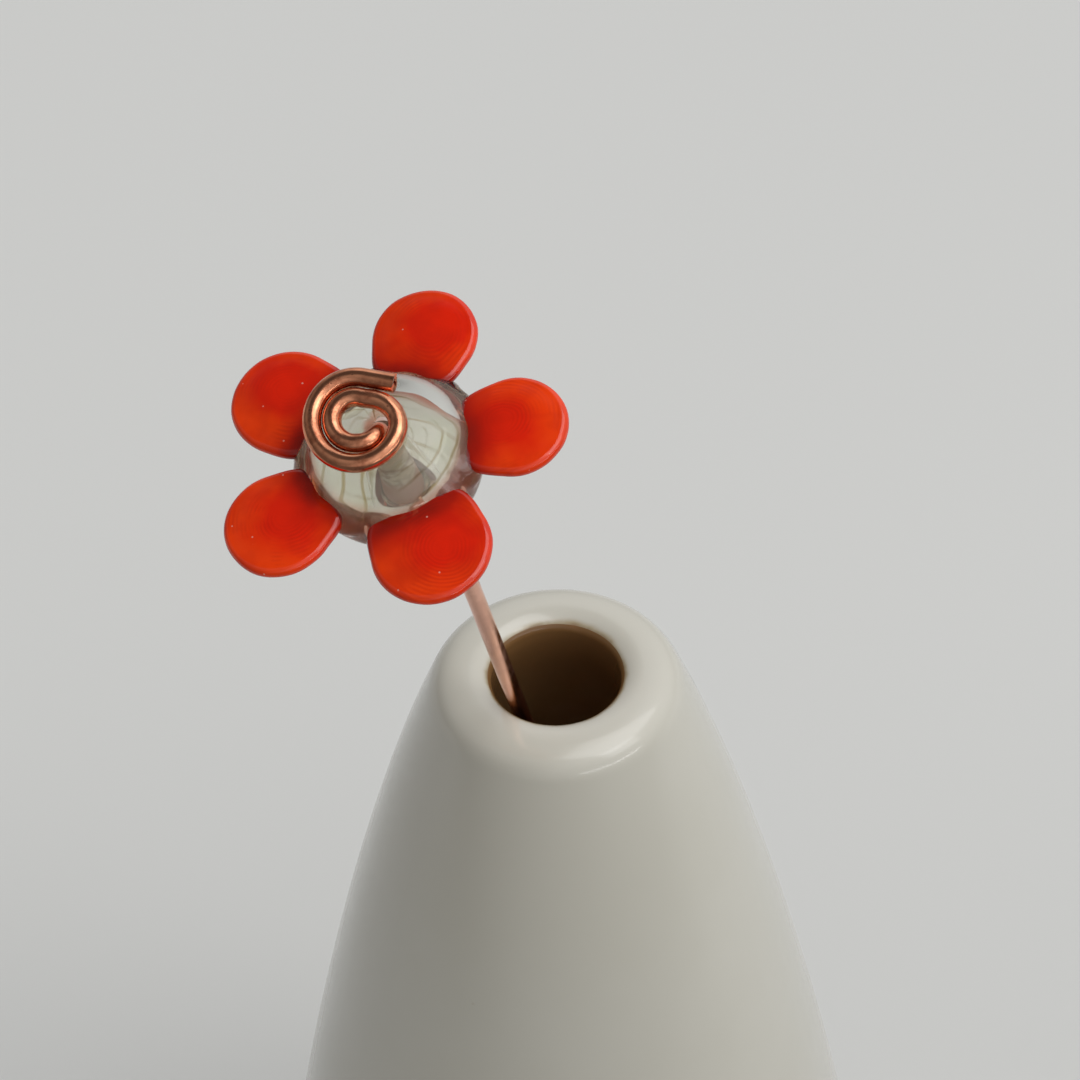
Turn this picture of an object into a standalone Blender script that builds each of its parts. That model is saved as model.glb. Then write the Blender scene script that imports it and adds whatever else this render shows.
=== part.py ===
"""A glass flower on a copper wire, standing in a ceramic bud vase.

Run with: blender --background --python part.py
Metres, +Z up. The origin is the centre of the vase's foot, on the surface it stands on.
The flower leans out over the lip towards -Y and -X. It is looked at from -Y, so the petals
are named from there: petal_1 is at the top and the others follow counterclockwise.
"""

import math

import bmesh
import bpy
from mathutils import Matrix, Vector
from mathutils.geometry import interpolate_bezier

MM = 0.001
GAP = 0.3 * MM  # between pieces that touch on the real thing
MERGE = 0.0001 * MM  # welds what a turned profile leaves on its axis

# Vase: radii and heights of its outline, with how far each curve is pulled past its points
VASE_HEIGHT = 100 * MM
MOUTH_RADIUS = 4.7 * MM
MOUTH_EDGE = 1.1 * MM  # drop from the crest of the lip to the mouth's narrowest ring
LIP_RADIUS = 6.4 * MM
SHOULDER_RADIUS = 9.4 * MM
SHOULDER_DROP = 2.0 * MM
SHOULDER_PULL = Vector((8.2, -21.6)) * MM
BELLY_RADIUS = 24.6 * MM
BELLY_HEIGHT = 24 * MM
BELLY_PULL = 10 * MM
FOOT_RADIUS = 17 * MM
FOOT_PULL = Vector((4, 3)) * MM
FOOT_CHAMFER = 0.5 * MM
FOOT_RING = 2.8 * MM  # width of the ring it stands on
FOOT_RECESS = 1.4 * MM
NECK_RADIUS = 5.6 * MM  # inside, below the mouth
NECK_DROP = 7 * MM
NECK_PULL = Vector((2.4, -11)) * MM
WALL = 3.4 * MM
FLOOR = 4.2 * MM
VASE_SIDES = 48

# Flower: its frame has the bead's middle as origin, the hole as Z and the bead's plane as XY
FLOWER_PLACE = Vector((-10.2, -11.9, 33.9)) * MM  # from the middle of the mouth
FLOWER_LEAN = math.radians(18.2)
FLOWER_FACING = math.radians(32.6)  # from -Y towards -X
FLOWER_SPIN = math.radians(48.7)

# Bead
BEAD_RADIUS = 6.15 * MM
BEAD_FRONT = 4.4 * MM
BEAD_BACK = 4.0 * MM
HOLE_RADIUS = 1.2 * MM
HOLE_LIP = 0.6 * MM  # rounding of the glass into the hole
BEAD_SIDES = 32

# Petals: bearing round the bead, radius of the pressed disc, and how far out its middle is
PETALS = (
    (54.4, 3.6 * MM, 8.4 * MM),
    (129.4, 3.85 * MM, 7.95 * MM),
    (195.8, 3.75 * MM, 8.65 * MM),
    (272.0, 4.05 * MM, 8.2 * MM),
    (345.6, 3.63 * MM, 8.4 * MM),
)
PETAL_HEIGHT = 1.5 * MM  # the petals sit on the front shoulder of the bead
PETAL_THICKNESS = 2.2 * MM
PETAL_ROUND = 105  # degrees of the disc to each side of its tip, before it narrows to the bead
PETAL_ROOT = 2.5 * MM  # from the disc's middle in to the root's corners
PETAL_ROOT_WIDTH = 3.6 * MM  # between those corners, without the rounded rim
PETAL_ROOT_BULGE = 0.35 * MM

# Wire: 16 gauge copper, standing on the vase's floor and coiled over the bead
WIRE_RADIUS = 0.645 * MM
WIRE_END = Vector((6.5, 10, 0)) * MM  # on the floor, from the vase's axis
WIRE_PULL_AT_FLOOR = 30 * MM
WIRE_PULL_AT_MOUTH = 40 * MM  # towards the floor
STEM_PULL = 9 * MM  # between the mouth and the flower
WIRE_AT_MOUTH = Vector((-2.9, -2.55, -0.5)) * MM  # from the middle of the mouth
JOG = Vector((1.6, -0.8, -3)) * MM  # sideways bend behind the bead, which holds it up
BEND_PULL = 1.6 * MM
HOLE_SIDE = 0.2 * MM  # the wire leaves the hole this far off its axis
COIL_PLACE = Vector((-1.19, 0.4, 5.55)) * MM  # in the flower's frame
COIL_TILT = math.radians(10)
COIL_START = math.radians(-112)
COIL_SWEEP = math.radians(552)
COIL_INNER = 1.40 * MM
COIL_OUTER = 2.82 * MM
COIL_STEP_FROM = math.radians(195)  # the wire moves out from the inner turn to the outer one
COIL_STEP_TO = math.radians(285)
COIL_STRETCH = 1.05
COIL_TAIL = 2.0 * MM  # straight to the cut end
COIL_POINTS = 46

COPPER = (0.72, 0.38, 0.25, 1)
CLEAR_GLASS = (0.85, 0.88, 0.80, 1)
RED_GLASS = (0.78, 0.05, 0.01, 1)
GLAZE = (0.76, 0.75, 0.69, 1)


def clearScene():
    for obj in list(bpy.data.objects):
        bpy.data.objects.remove(obj)


def makeMaterial(name, color, roughness, metallic=0):
    material = bpy.data.materials.new(name)
    material.use_nodes = True
    shader = material.node_tree.nodes["Principled BSDF"]
    shader.inputs["Base Color"].default_value = color
    shader.inputs["Roughness"].default_value = roughness
    shader.inputs["Metallic"].default_value = metallic
    return material


def makeCollection(name):
    collection = bpy.data.collections.new(name)
    bpy.context.scene.collection.children.link(collection)
    return collection


def addObject(name, data, collection, parent=None):
    obj = bpy.data.objects.new(name, data)
    obj.parent = parent
    collection.objects.link(obj)
    return obj


def bezier(start, handle1, handle2, end, steps):
    """Points from start to just before end."""
    points = [Vector(p) for p in (start, handle1, handle2, end)]
    return interpolate_bezier(points[0], points[1], points[2], points[3], steps + 1)[:-1]


def ellipseArc(centre, across, up, start, end, steps):
    """Points from the start angle to just before the end angle, in degrees."""
    angles = [math.radians(start + (end - start) * i / steps) for i in range(steps)]
    return [(centre[0] + across * math.cos(a), centre[1] + up * math.sin(a)) for a in angles]


def turn(name, outline, closed, sides, collection, parent=None):
    """Turns an outline of (radius, height) points round Z. Its outer side runs downwards."""
    mesh = bpy.data.meshes.new(name)
    edges = [(i, i + 1) for i in range(len(outline) - 1)]
    if closed:
        edges.append((len(outline) - 1, 0))
    mesh.from_pydata([(p[0], 0, p[1]) for p in outline], edges, [])
    obj = addObject(name, mesh, collection, parent)
    screw = obj.modifiers.new("Turn", "SCREW")
    screw.steps = sides
    screw.render_steps = sides
    screw.use_merge_vertices = True
    screw.merge_threshold = MERGE
    return obj


def vaseOutline():
    """From the middle of the inside floor, up the inside, over the lip and down to the foot."""
    top = VASE_HEIGHT
    inside = BELLY_RADIUS - WALL
    floorEdge = Vector((FOOT_RADIUS - WALL, FLOOR))
    innerBelly = Vector((inside, BELLY_HEIGHT))
    neck = Vector((NECK_RADIUS, top - NECK_DROP))
    throat = Vector((MOUTH_RADIUS, top - MOUTH_EDGE))
    crest = Vector((LIP_RADIUS, top))
    shoulder = Vector((SHOULDER_RADIUS, top - SHOULDER_DROP))
    belly = Vector((BELLY_RADIUS, BELLY_HEIGHT))
    foot = Vector((FOOT_RADIUS, FOOT_CHAMFER))
    ringInside = FOOT_RADIUS - FOOT_RING
    down = Vector((0, -BELLY_PULL))
    outwards = Vector((NECK_RADIUS - MOUTH_RADIUS, 0))
    return (
        [(0, FLOOR)]
        + bezier(floorEdge, floorEdge + outwards * 5, innerBelly + down, innerBelly, 5)
        + bezier(innerBelly, innerBelly - down, neck + NECK_PULL, neck, 9)
        + bezier(neck, neck - NECK_PULL / 5, throat + down / 5, throat, 3)
        + ellipseArc((LIP_RADIUS, throat[1]), LIP_RADIUS - MOUTH_RADIUS, MOUTH_EDGE, 180, 90, 5)
        + bezier(crest, crest + outwards * 2, shoulder - SHOULDER_PULL / 16, shoulder, 5)
        + bezier(shoulder, shoulder + SHOULDER_PULL, belly - down, belly, 12)
        + bezier(belly, belly + down, foot + FOOT_PULL, foot, 8)
        + [foot, (FOOT_RADIUS - FOOT_CHAMFER, 0), (ringInside, 0)]
        + [(ringInside - FOOT_CHAMFER, FOOT_RECESS), (0, FOOT_RECESS)]
    )


def beadOutline():
    """From the front edge of the hole over the outside to the back edge, and up the hole."""
    reach = math.degrees(math.acos((HOLE_RADIUS + HOLE_LIP) / BEAD_RADIUS))
    front = ellipseArc((0, 0), BEAD_RADIUS, BEAD_FRONT, reach, 0, 8)
    back = ellipseArc((0, 0), BEAD_RADIUS, BEAD_BACK, 0, -reach, 8)
    ends = math.sin(math.radians(reach))
    frontLip = (HOLE_RADIUS + HOLE_LIP, BEAD_FRONT * ends - HOLE_LIP)
    backLip = (HOLE_RADIUS + HOLE_LIP, HOLE_LIP - BEAD_BACK * ends)
    return (
        front
        + back
        + ellipseArc(backLip, HOLE_LIP, HOLE_LIP, 270, 180, 3)
        + [(HOLE_RADIUS, backLip[1])]
        + ellipseArc(frontLip, HOLE_LIP, HOLE_LIP, 180, 90, 3)
    )


def petalOutline(radius):
    """The flat face of a petal, out to where its rim starts to round over."""
    flat = radius - PETAL_THICKNESS / 2
    across = PETAL_ROOT_WIDTH / 2
    rim = ellipseArc((0, 0), flat, flat, -PETAL_ROUND, PETAL_ROUND, 18)
    lastOfRim = (rim[0][0], -rim[0][1])
    root = [(-PETAL_ROOT, across), (-PETAL_ROOT - PETAL_ROOT_BULGE, 0), (-PETAL_ROOT, -across)]
    return rim + [lastOfRim] + root


def pressedSlab(name, outline, thickness, collection, parent):
    """A flat outline whose rim is rounded all the way over, as one welded mesh."""
    curve = bpy.data.curves.new(name, "CURVE")
    curve.dimensions = "2D"
    curve.fill_mode = "BOTH"
    curve.bevel_depth = thickness / 2
    curve.bevel_resolution = 2
    spline = curve.splines.new("POLY")
    spline.points.add(len(outline) - 1)
    spline.use_cyclic_u = True
    for point, place in zip(spline.points, outline):
        point.co = (*place, 0, 1)
    guide = addObject(name + "_outline", curve, collection)
    evaluated = guide.evaluated_get(bpy.context.evaluated_depsgraph_get())
    mesh = bpy.data.meshes.new_from_object(evaluated)
    bpy.data.objects.remove(guide)
    shape = bmesh.new()
    shape.from_mesh(mesh)
    bmesh.ops.remove_doubles(shape, verts=shape.verts, dist=MERGE)
    shape.to_mesh(mesh)
    shape.free()
    return addObject(name, mesh, collection, parent)


def makeVase(parts):
    vase = turn("vase", vaseOutline(), False, VASE_SIDES, parts)
    vase.data.materials.append(makeMaterial("Glaze", GLAZE, 0.3))


def makeFlower(parts, cutters):
    flower = addObject("flower", None, parts)
    flower.matrix_world = flowerFrame()

    bead = turn("glass_centre", beadOutline(), True, BEAD_SIDES, parts, flower)
    bead.data.materials.append(makeMaterial("Clear glass", CLEAR_GLASS, 0.05))

    # The glass is fused, so each petal is cut to the bead's own curve, one gap away from it
    room = (
        ellipseArc((0, 0), BEAD_RADIUS + GAP, BEAD_FRONT + GAP, 90, 0, 9)
        + ellipseArc((0, 0), BEAD_RADIUS + GAP, BEAD_BACK + GAP, 0, -90, 9)
        + [(0, -BEAD_BACK - GAP)]
    )
    cutter = turn("bead_cutter", room, False, BEAD_SIDES, cutters, flower)
    cutter.hide_render = True
    cutter.display_type = "WIRE"

    redGlass = makeMaterial("Red glass", RED_GLASS, 0.08)
    for number, (bearing, radius, out) in enumerate(PETALS, 1):
        petal = pressedSlab(f"petal_{number}", petalOutline(radius), PETAL_THICKNESS, parts, flower)
        angle = math.radians(bearing)
        petal.location = (out * math.cos(angle), out * math.sin(angle), PETAL_HEIGHT)
        petal.rotation_euler = (0, 0, angle)
        petal.data.materials.append(redGlass)
        cut = petal.modifiers.new("Bead", "BOOLEAN")
        cut.operation = "DIFFERENCE"
        cut.object = cutter


def flowerFrame():
    mouth = Vector((0, 0, VASE_HEIGHT))
    turnOver = Matrix.Rotation(FLOWER_LEAN, 4, "X")
    facing = Matrix.Rotation(-FLOWER_FACING, 4, "Z")
    spin = Matrix.Rotation(FLOWER_SPIN, 4, "Z")
    return Matrix.Translation(mouth + FLOWER_PLACE) @ facing @ turnOver @ spin


def coilPoints():
    """The coil in its own plane: an inner turn, a step outwards, an outer turn and a tail."""
    points = []
    for i in range(COIL_POINTS + 1):
        sweep = COIL_SWEEP * i / COIL_POINTS
        step = min(1, max(0, (sweep - COIL_STEP_FROM) / (COIL_STEP_TO - COIL_STEP_FROM)))
        ease = step * step * (3 - 2 * step)
        radius = COIL_INNER + (COIL_OUTER - COIL_INNER) * ease
        angle = COIL_START - sweep
        points.append(Vector((radius * math.cos(angle), radius * math.sin(angle) * COIL_STRETCH, 0)))
    onward = (points[-1] - points[-2]).normalized()
    points.append(points[-1] + onward * COIL_TAIL / 2)
    points.append(points[-2] + onward * COIL_TAIL)
    return points


def wireRoute():
    """From the vase's floor over the lip, through the bead and round the coil."""
    frame = flowerFrame()
    axis = frame.to_3x3() @ Vector((0, 0, 1))
    coilFrame = frame @ Matrix.Translation(COIL_PLACE) @ Matrix.Rotation(COIL_TILT, 4, "X")
    coil = [coilFrame @ point for point in coilPoints()]
    onto = (coil[0] - coil[1]).normalized()

    up = Vector((0, 0, 1))
    floor = WIRE_END + up * (FLOOR + GAP)
    mouth = WIRE_AT_MOUTH + up * VASE_HEIGHT
    jogTop = frame @ Vector((0, 0, -BEAD_BACK - GAP))
    jogEnd = frame @ (Vector((0, 0, -BEAD_BACK - GAP)) + JOG)
    holeTop = frame @ Vector((0, -HOLE_SIDE, BEAD_FRONT - HOLE_RADIUS))
    lean = (jogEnd - mouth).normalized()
    bend = BEND_PULL
    return (
        bezier(floor, floor + up * WIRE_PULL_AT_FLOOR, mouth - lean * WIRE_PULL_AT_MOUTH, mouth, 16)
        + bezier(mouth, mouth + lean * STEM_PULL, jogEnd - lean * STEM_PULL, jogEnd, 5)
        + bezier(jogEnd, jogEnd + lean * bend, jogTop - axis * bend, jogTop, 7)
        + bezier(jogTop, jogTop + axis * bend, holeTop - axis * bend, holeTop, 3)
        + bezier(holeTop, holeTop + axis * bend, coil[0] + onto * bend, coil[0], 7)
        + coil
    )


def makeWire(parts):
    curve = bpy.data.curves.new("copper_stem", "CURVE")
    curve.dimensions = "3D"
    curve.bevel_depth = WIRE_RADIUS
    curve.bevel_resolution = 3
    curve.use_fill_caps = True
    route = wireRoute()
    spline = curve.splines.new("POLY")
    spline.points.add(len(route) - 1)
    for point, place in zip(spline.points, route):
        point.co = (*place, 1)
    stem = addObject("copper_stem", curve, parts)
    stem.data.materials.append(makeMaterial("Copper", COPPER, 0.25, 1))


def main():
    clearScene()
    parts = makeCollection("glass_flower_in_vase")
    cutters = makeCollection("cutters")
    makeVase(parts)
    makeFlower(parts, cutters)
    makeWire(parts)


main()
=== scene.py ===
# Dresses the glass flower on its copper wire and the bud vase that it stands in.
# Metres, +Z up. The flower leans out over the lip towards -Y and -X.
import math

import bpy
from mathutils import Matrix, Vector
from mathutils.geometry import interpolate_bezier


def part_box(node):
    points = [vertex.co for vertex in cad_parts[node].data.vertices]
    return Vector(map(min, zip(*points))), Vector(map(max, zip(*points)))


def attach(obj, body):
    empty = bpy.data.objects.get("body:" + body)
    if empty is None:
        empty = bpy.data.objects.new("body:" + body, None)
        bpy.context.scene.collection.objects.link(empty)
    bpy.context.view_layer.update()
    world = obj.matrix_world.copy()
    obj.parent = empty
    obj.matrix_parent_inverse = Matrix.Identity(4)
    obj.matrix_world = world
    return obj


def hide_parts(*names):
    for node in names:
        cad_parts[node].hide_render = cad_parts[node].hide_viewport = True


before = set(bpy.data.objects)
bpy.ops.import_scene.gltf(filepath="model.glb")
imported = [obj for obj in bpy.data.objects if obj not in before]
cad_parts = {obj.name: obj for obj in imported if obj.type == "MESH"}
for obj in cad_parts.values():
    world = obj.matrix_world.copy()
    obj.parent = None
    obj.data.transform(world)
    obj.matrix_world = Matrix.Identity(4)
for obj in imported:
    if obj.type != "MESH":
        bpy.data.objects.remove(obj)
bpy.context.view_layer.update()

mm = 0.001
tiny = 0.0001 * mm
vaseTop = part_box("vase")[1]
vaseHeight = vaseTop.z
mouthMiddle = Vector((0, 0, vaseHeight - 0.5 * mm))


def deselectAll():
    if bpy.context.object and bpy.context.object.mode == "EDIT":
        bpy.ops.object.mode_set(mode="OBJECT")
    bpy.ops.object.select_all(action="DESELECT")


def named(name):
    obj = bpy.context.object
    obj.name = name
    obj.data.name = name
    return obj


def makeActive(obj):
    deselectAll()
    obj.select_set(True)
    bpy.context.view_layer.objects.active = obj


def pickVerts(obj, wanted):  # leaves edit mode on, with only the wanted vertices selected
    bpy.ops.object.mode_set(mode="EDIT")
    bpy.ops.mesh.select_mode(type="VERT")
    bpy.ops.mesh.select_all(action="DESELECT")
    bpy.ops.object.mode_set(mode="OBJECT")
    for vert in obj.data.vertices:
        vert.select = wanted(vert.co)
    bpy.ops.object.mode_set(mode="EDIT")


def pickFaces(obj, wanted):  # the same by a face's middle and normal
    bpy.ops.object.mode_set(mode="EDIT")
    bpy.ops.mesh.select_mode(type="FACE")
    bpy.ops.mesh.select_all(action="DESELECT")
    bpy.ops.object.mode_set(mode="OBJECT")
    for face in obj.data.polygons:
        face.select = wanted(face.center, face.normal)
    bpy.ops.object.mode_set(mode="EDIT")


def applyModifiers(obj):
    for modifier in list(obj.modifiers):
        bpy.ops.object.modifier_apply(modifier=modifier.name)


def softMove(value, size):  # moves what is picked, and what lies near it less and less
    bpy.ops.transform.translate(value=value, use_proportional_edit=True,
                                proportional_edit_falloff="SMOOTH", proportional_size=size)


def dents(obj, name, shape, level=1.0):  # at level 1 only inwards, so that the piece stays its size
    cloud = bpy.data.textures.new(name, "CLOUDS")
    cloud.noise_scale = shape["unevenSize"]
    cloud.noise_depth = 1
    push = obj.modifiers.new(name, "DISPLACE")
    push.texture = cloud
    push.strength = shape["uneven"]
    push.mid_level = level
    push.texture_coords = "LOCAL"
    applyModifiers(obj)


def putIn(obj, place):  # moves the mesh to its place and leaves the object at the origin
    makeActive(obj)
    obj.matrix_world = place
    bpy.ops.object.transform_apply(location=True, rotation=True, scale=True)


def smooth(obj, angle):
    makeActive(obj)
    bpy.ops.object.shade_smooth_by_angle(angle=math.radians(angle))


def dress(obj, slotName, *nodes):
    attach(obj, "root")
    if nodes:
        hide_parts(*nodes)


def keepPlace(obj, attribute, shift=Vector()):  # for patterns that follow the piece's own middle
    own = obj.data.attributes.new(attribute, "FLOAT_VECTOR", "POINT")
    for vert, entry in zip(obj.data.vertices, own.data):
        entry.vector = vert.co + shift


def bezier(start, handle1, handle2, end, steps):  # from start to just before end
    points = [Vector(p) for p in (start, handle1, handle2, end)]
    return interpolate_bezier(points[0], points[1], points[2], points[3], steps + 1)[:-1]


def ellipseArc(centre, across, up, start, end, steps):  # in degrees, to just before end
    angles = [math.radians(start + (end - start) * i / steps) for i in range(steps)]
    return [(centre[0] + across * math.cos(a), centre[1] + up * math.sin(a)) for a in angles]


def spinOutline(name, outline, sides):
    # one vertex is drawn out along the (radius, height) points, and the line is spun round Z
    deselectAll()
    bpy.ops.mesh.primitive_plane_add(size=mm, location=(0, 0, 0))
    obj = named(name)
    bpy.ops.object.mode_set(mode="EDIT")
    bpy.ops.mesh.select_all(action="SELECT")
    bpy.ops.mesh.merge(type="CENTER")
    bpy.ops.transform.translate(value=(outline[0][0], 0, outline[0][1]))
    for here, onward in zip(outline, outline[1:]):
        step = (onward[0] - here[0], 0, onward[1] - here[1])
        bpy.ops.mesh.extrude_vertices_move(TRANSFORM_OT_translate={"value": step})
    bpy.ops.mesh.select_all(action="SELECT")
    bpy.ops.mesh.spin(steps=sides, angle=2 * math.pi, center=(0, 0, 0), axis=(0, 0, 1),
                      use_auto_merge=True)
    bpy.ops.mesh.select_all(action="SELECT")
    bpy.ops.mesh.remove_doubles(threshold=tiny)
    bpy.ops.mesh.normals_make_consistent(inside=False)
    bpy.ops.object.mode_set(mode="OBJECT")
    return obj


def put(tree, kind, settings={}, **values):  # a socket given as a value is linked
    node = tree.nodes.new("ShaderNode" + kind)
    for key, value in settings.items():
        setattr(node, key, value)
    for key, value in values.items():
        socket = node.inputs[key.replace("_", " ")]
        if isinstance(value, bpy.types.NodeSocket):
            tree.links.new(value, socket)
        else:
            socket.default_value = value
    return node


def calc(tree, operation, first, second=0.0):
    node = tree.nodes.new("ShaderNodeMath")
    node.operation = operation
    for socket, value in zip(node.inputs, (first, second)):
        if isinstance(value, bpy.types.NodeSocket):
            tree.links.new(value, socket)
        else:
            socket.default_value = value
    return node.outputs[0]


def remap(tree, value, fromLow, fromHigh, low, high):
    node = put(tree, "MapRange", {"interpolation_type": "SMOOTHSTEP"}, Value=value)
    for key, number in (("From Min", fromLow), ("From Max", fromHigh), ("To Min", low), ("To Max", high)):
        node.inputs[key].default_value = number
    return node.outputs[0]


def mixColours(tree, factor, first, second, blend="MIX"):
    node = tree.nodes.new("ShaderNodeMix")
    node.data_type = "RGBA"
    node.blend_type = blend
    for socket, value in ((node.inputs[0], factor), (node.inputs[6], first), (node.inputs[7], second)):
        if isinstance(value, bpy.types.NodeSocket):
            tree.links.new(value, socket)
        elif isinstance(value, tuple):
            socket.default_value = (*value, 1)
        else:
            socket.default_value = value
    return node.outputs[2]


def ramp(tree, value, stops):
    node = tree.nodes.new("ShaderNodeValToRGB")
    tree.links.new(value, node.inputs[0])
    while len(node.color_ramp.elements) < len(stops):
        node.color_ramp.elements.new(0.5)
    for element, (place, colour) in zip(node.color_ramp.elements, stops):
        element.position = place
        element.color = (*colour, 1)
    return node.outputs[0]


def newMaterial(name):
    material = bpy.data.materials.new(name)
    material.use_nodes = True
    return material, material.node_tree, material.node_tree.nodes["Principled BSDF"]


def objectPlace(tree):
    return tree.nodes.new("ShaderNodeTexCoord").outputs["Object"]


def ownPlace(tree, attribute):
    node = tree.nodes.new("ShaderNodeAttribute")
    node.attribute_name = attribute
    return node.outputs["Vector"]


def axesOf(tree, place):
    return put(tree, "SeparateXYZ", Vector=place).outputs


def likeness(tree, way, aim):  # 1 where the two point the same way, 0 at right angles
    node = put(tree, "VectorMath", {"operation": "DOT_PRODUCT"})
    tree.links.new(way, node.inputs[0])
    node.inputs[1].default_value = Vector(aim).normalized()
    return node.outputs["Value"]


def bumpBy(tree, shader, height, strength, distance):
    bump = put(tree, "Bump", Strength=strength, Distance=distance, Height=height)
    tree.links.new(bump.outputs[0], shader.inputs["Normal"])


def ringRadius(tree, axes):  # distance from the pattern's own Z axis
    return calc(tree, "SQRT", calc(tree, "ADD", calc(tree, "MULTIPLY", axes[0], axes[0]),
                                   calc(tree, "MULTIPLY", axes[1], axes[1])))


def useGroup(tree, group, **values):
    node = tree.nodes.new("ShaderNodeGroup")
    node.node_tree = group
    for key, value in values.items():
        if isinstance(value, bpy.types.NodeSocket):
            tree.links.new(value, node.inputs[key])
        else:
            node.inputs[key].default_value = value
    return node.outputs[0]


def newGroup(name, inputs, output):
    group = bpy.data.node_groups.new(name, "ShaderNodeTree")
    for key, kind in inputs.items():
        group.interface.new_socket(key, in_out="INPUT", socket_type="NodeSocket" + kind)
    group.interface.new_socket(output, in_out="OUTPUT", socket_type="NodeSocketFloat")
    start = group.nodes.new("NodeGroupInput")
    end = group.nodes.new("NodeGroupOutput")
    return group, start.outputs, end.inputs[0]


def makeCloudy():  # slow change between two values, for colour, gloss and bump
    group, given, result = newGroup(
        "cloudyChange", {"Place": "Vector", "Scale": "Float", "Low": "Float", "High": "Float"}, "Value")
    noise = put(group, "TexNoise", Vector=given["Place"], Scale=given["Scale"], Detail=3.0)
    spread = put(group, "MapRange", {"interpolation_type": "SMOOTHSTEP"}, Value=noise.outputs[0])
    spread.inputs["From Min"].default_value = 0.3
    spread.inputs["From Max"].default_value = 0.7
    group.links.new(given["Low"], spread.inputs["To Min"])
    group.links.new(given["High"], spread.inputs["To Max"])
    group.links.new(spread.outputs[0], result)
    return group


def makeSpecks():  # a few round specks: Share is how many cells hold one, Size its part of a cell
    group, given, result = newGroup(
        "tinySpecks", {"Place": "Vector", "Scale": "Float", "Share": "Float", "Size": "Float"}, "Mask")
    cells = put(group, "TexVoronoi", Vector=given["Place"], Scale=given["Scale"])
    chosen = calc(group, "LESS_THAN", put(group, "SeparateColor", Color=cells.outputs["Color"]).outputs[0],
                  given["Share"])
    near = calc(group, "SUBTRACT", 1.0, calc(group, "DIVIDE", cells.outputs["Distance"], given["Size"]))
    soft = calc(group, "MINIMUM", calc(group, "MAXIMUM", calc(group, "MULTIPLY", near, 3.0), 0.0), 1.0)
    group.links.new(calc(group, "MULTIPLY", chosen, soft), result)
    return group


def makeDrawnLines():  # long fine lines: noise that is stretched by the scale it gets on each axis
    group, given, result = newGroup(
        "drawnLines", {"Place": "Vector", "Stretch": "Vector", "Detail": "Float"}, "Height")
    stretched = put(group, "VectorMath", {"operation": "MULTIPLY"})
    group.links.new(given["Place"], stretched.inputs[0])
    group.links.new(given["Stretch"], stretched.inputs[1])
    noise = put(group, "TexNoise", Vector=stretched.outputs[0], Scale=1.0, Detail=given["Detail"])
    group.links.new(noise.outputs[0], result)
    return group


cloudyChange = makeCloudy()
tinySpecks = makeSpecks()
drawnLines = makeDrawnLines()


vaseShape = {
    "mouthRadius": 4.7 * mm,
    "mouthEdge": 1.1 * mm,  # drop from the crest of the lip to the mouth's narrowest ring
    "lipRadius": 6.4 * mm,
    "shoulderRadius": 9.4 * mm,
    "shoulderDrop": 2.0 * mm,
    "shoulderPull": Vector((8.2, -21.6)) * mm,
    "bellyRadius": vaseTop.x,
    "bellyHeight": 24 * mm,
    "bellyPull": 10 * mm,
    "footRadius": 17 * mm,
    "footPull": Vector((4, 3)) * mm,
    "footEdge": 0.5 * mm,
    "footRing": 2.8 * mm,
    "footRecess": 1.4 * mm,
    "neckRadius": 5.6 * mm,
    "neckDrop": 7 * mm,
    "neckPull": Vector((2.4, -11)) * mm,
    "wall": 3.4 * mm,
    "floor": 4.2 * mm,
    "sides": 192,
}

glazeLook = {
    "cream": (0.645, 0.624, 0.550),
    "creamDeep": (0.610, 0.588, 0.508),
    "fringe": (0.36, 0.27, 0.12),  # where the glaze runs thin over the mouth's edge
    "brownShaded": (0.21, 0.108, 0.040),  # painted shade: the brown is darkest just inside the mouth
    "brown": (0.50, 0.29, 0.12),
    "brownPale": (0.60, 0.42, 0.22),
    "clay": (0.50, 0.41, 0.31),
    "roughness": 0.20,
    "roughnessChange": 0.04,
    "wave": (0.12, 0.05 * mm),  # strength and height of the bump
    "coat": 0.6,
    "coatRoughness": 0.10,
    "fringeFrom": 4.74 * mm,  # radii between which the brown goes over into the cream
    "fringeTo": 5.55 * mm,
    "fringeRagged": 0.10 * mm,
    "fringeDown": (3 * mm, 2 * mm),  # depths below the crest at which the outside is all cream
    "brownShadeDown": (16 * mm, 3 * mm),  # and between which the brown inside goes from paler, as painted light, to darker towards the mouth, as painted shade
    "grit": (0.5, 0.08 * mm),
}


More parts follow.
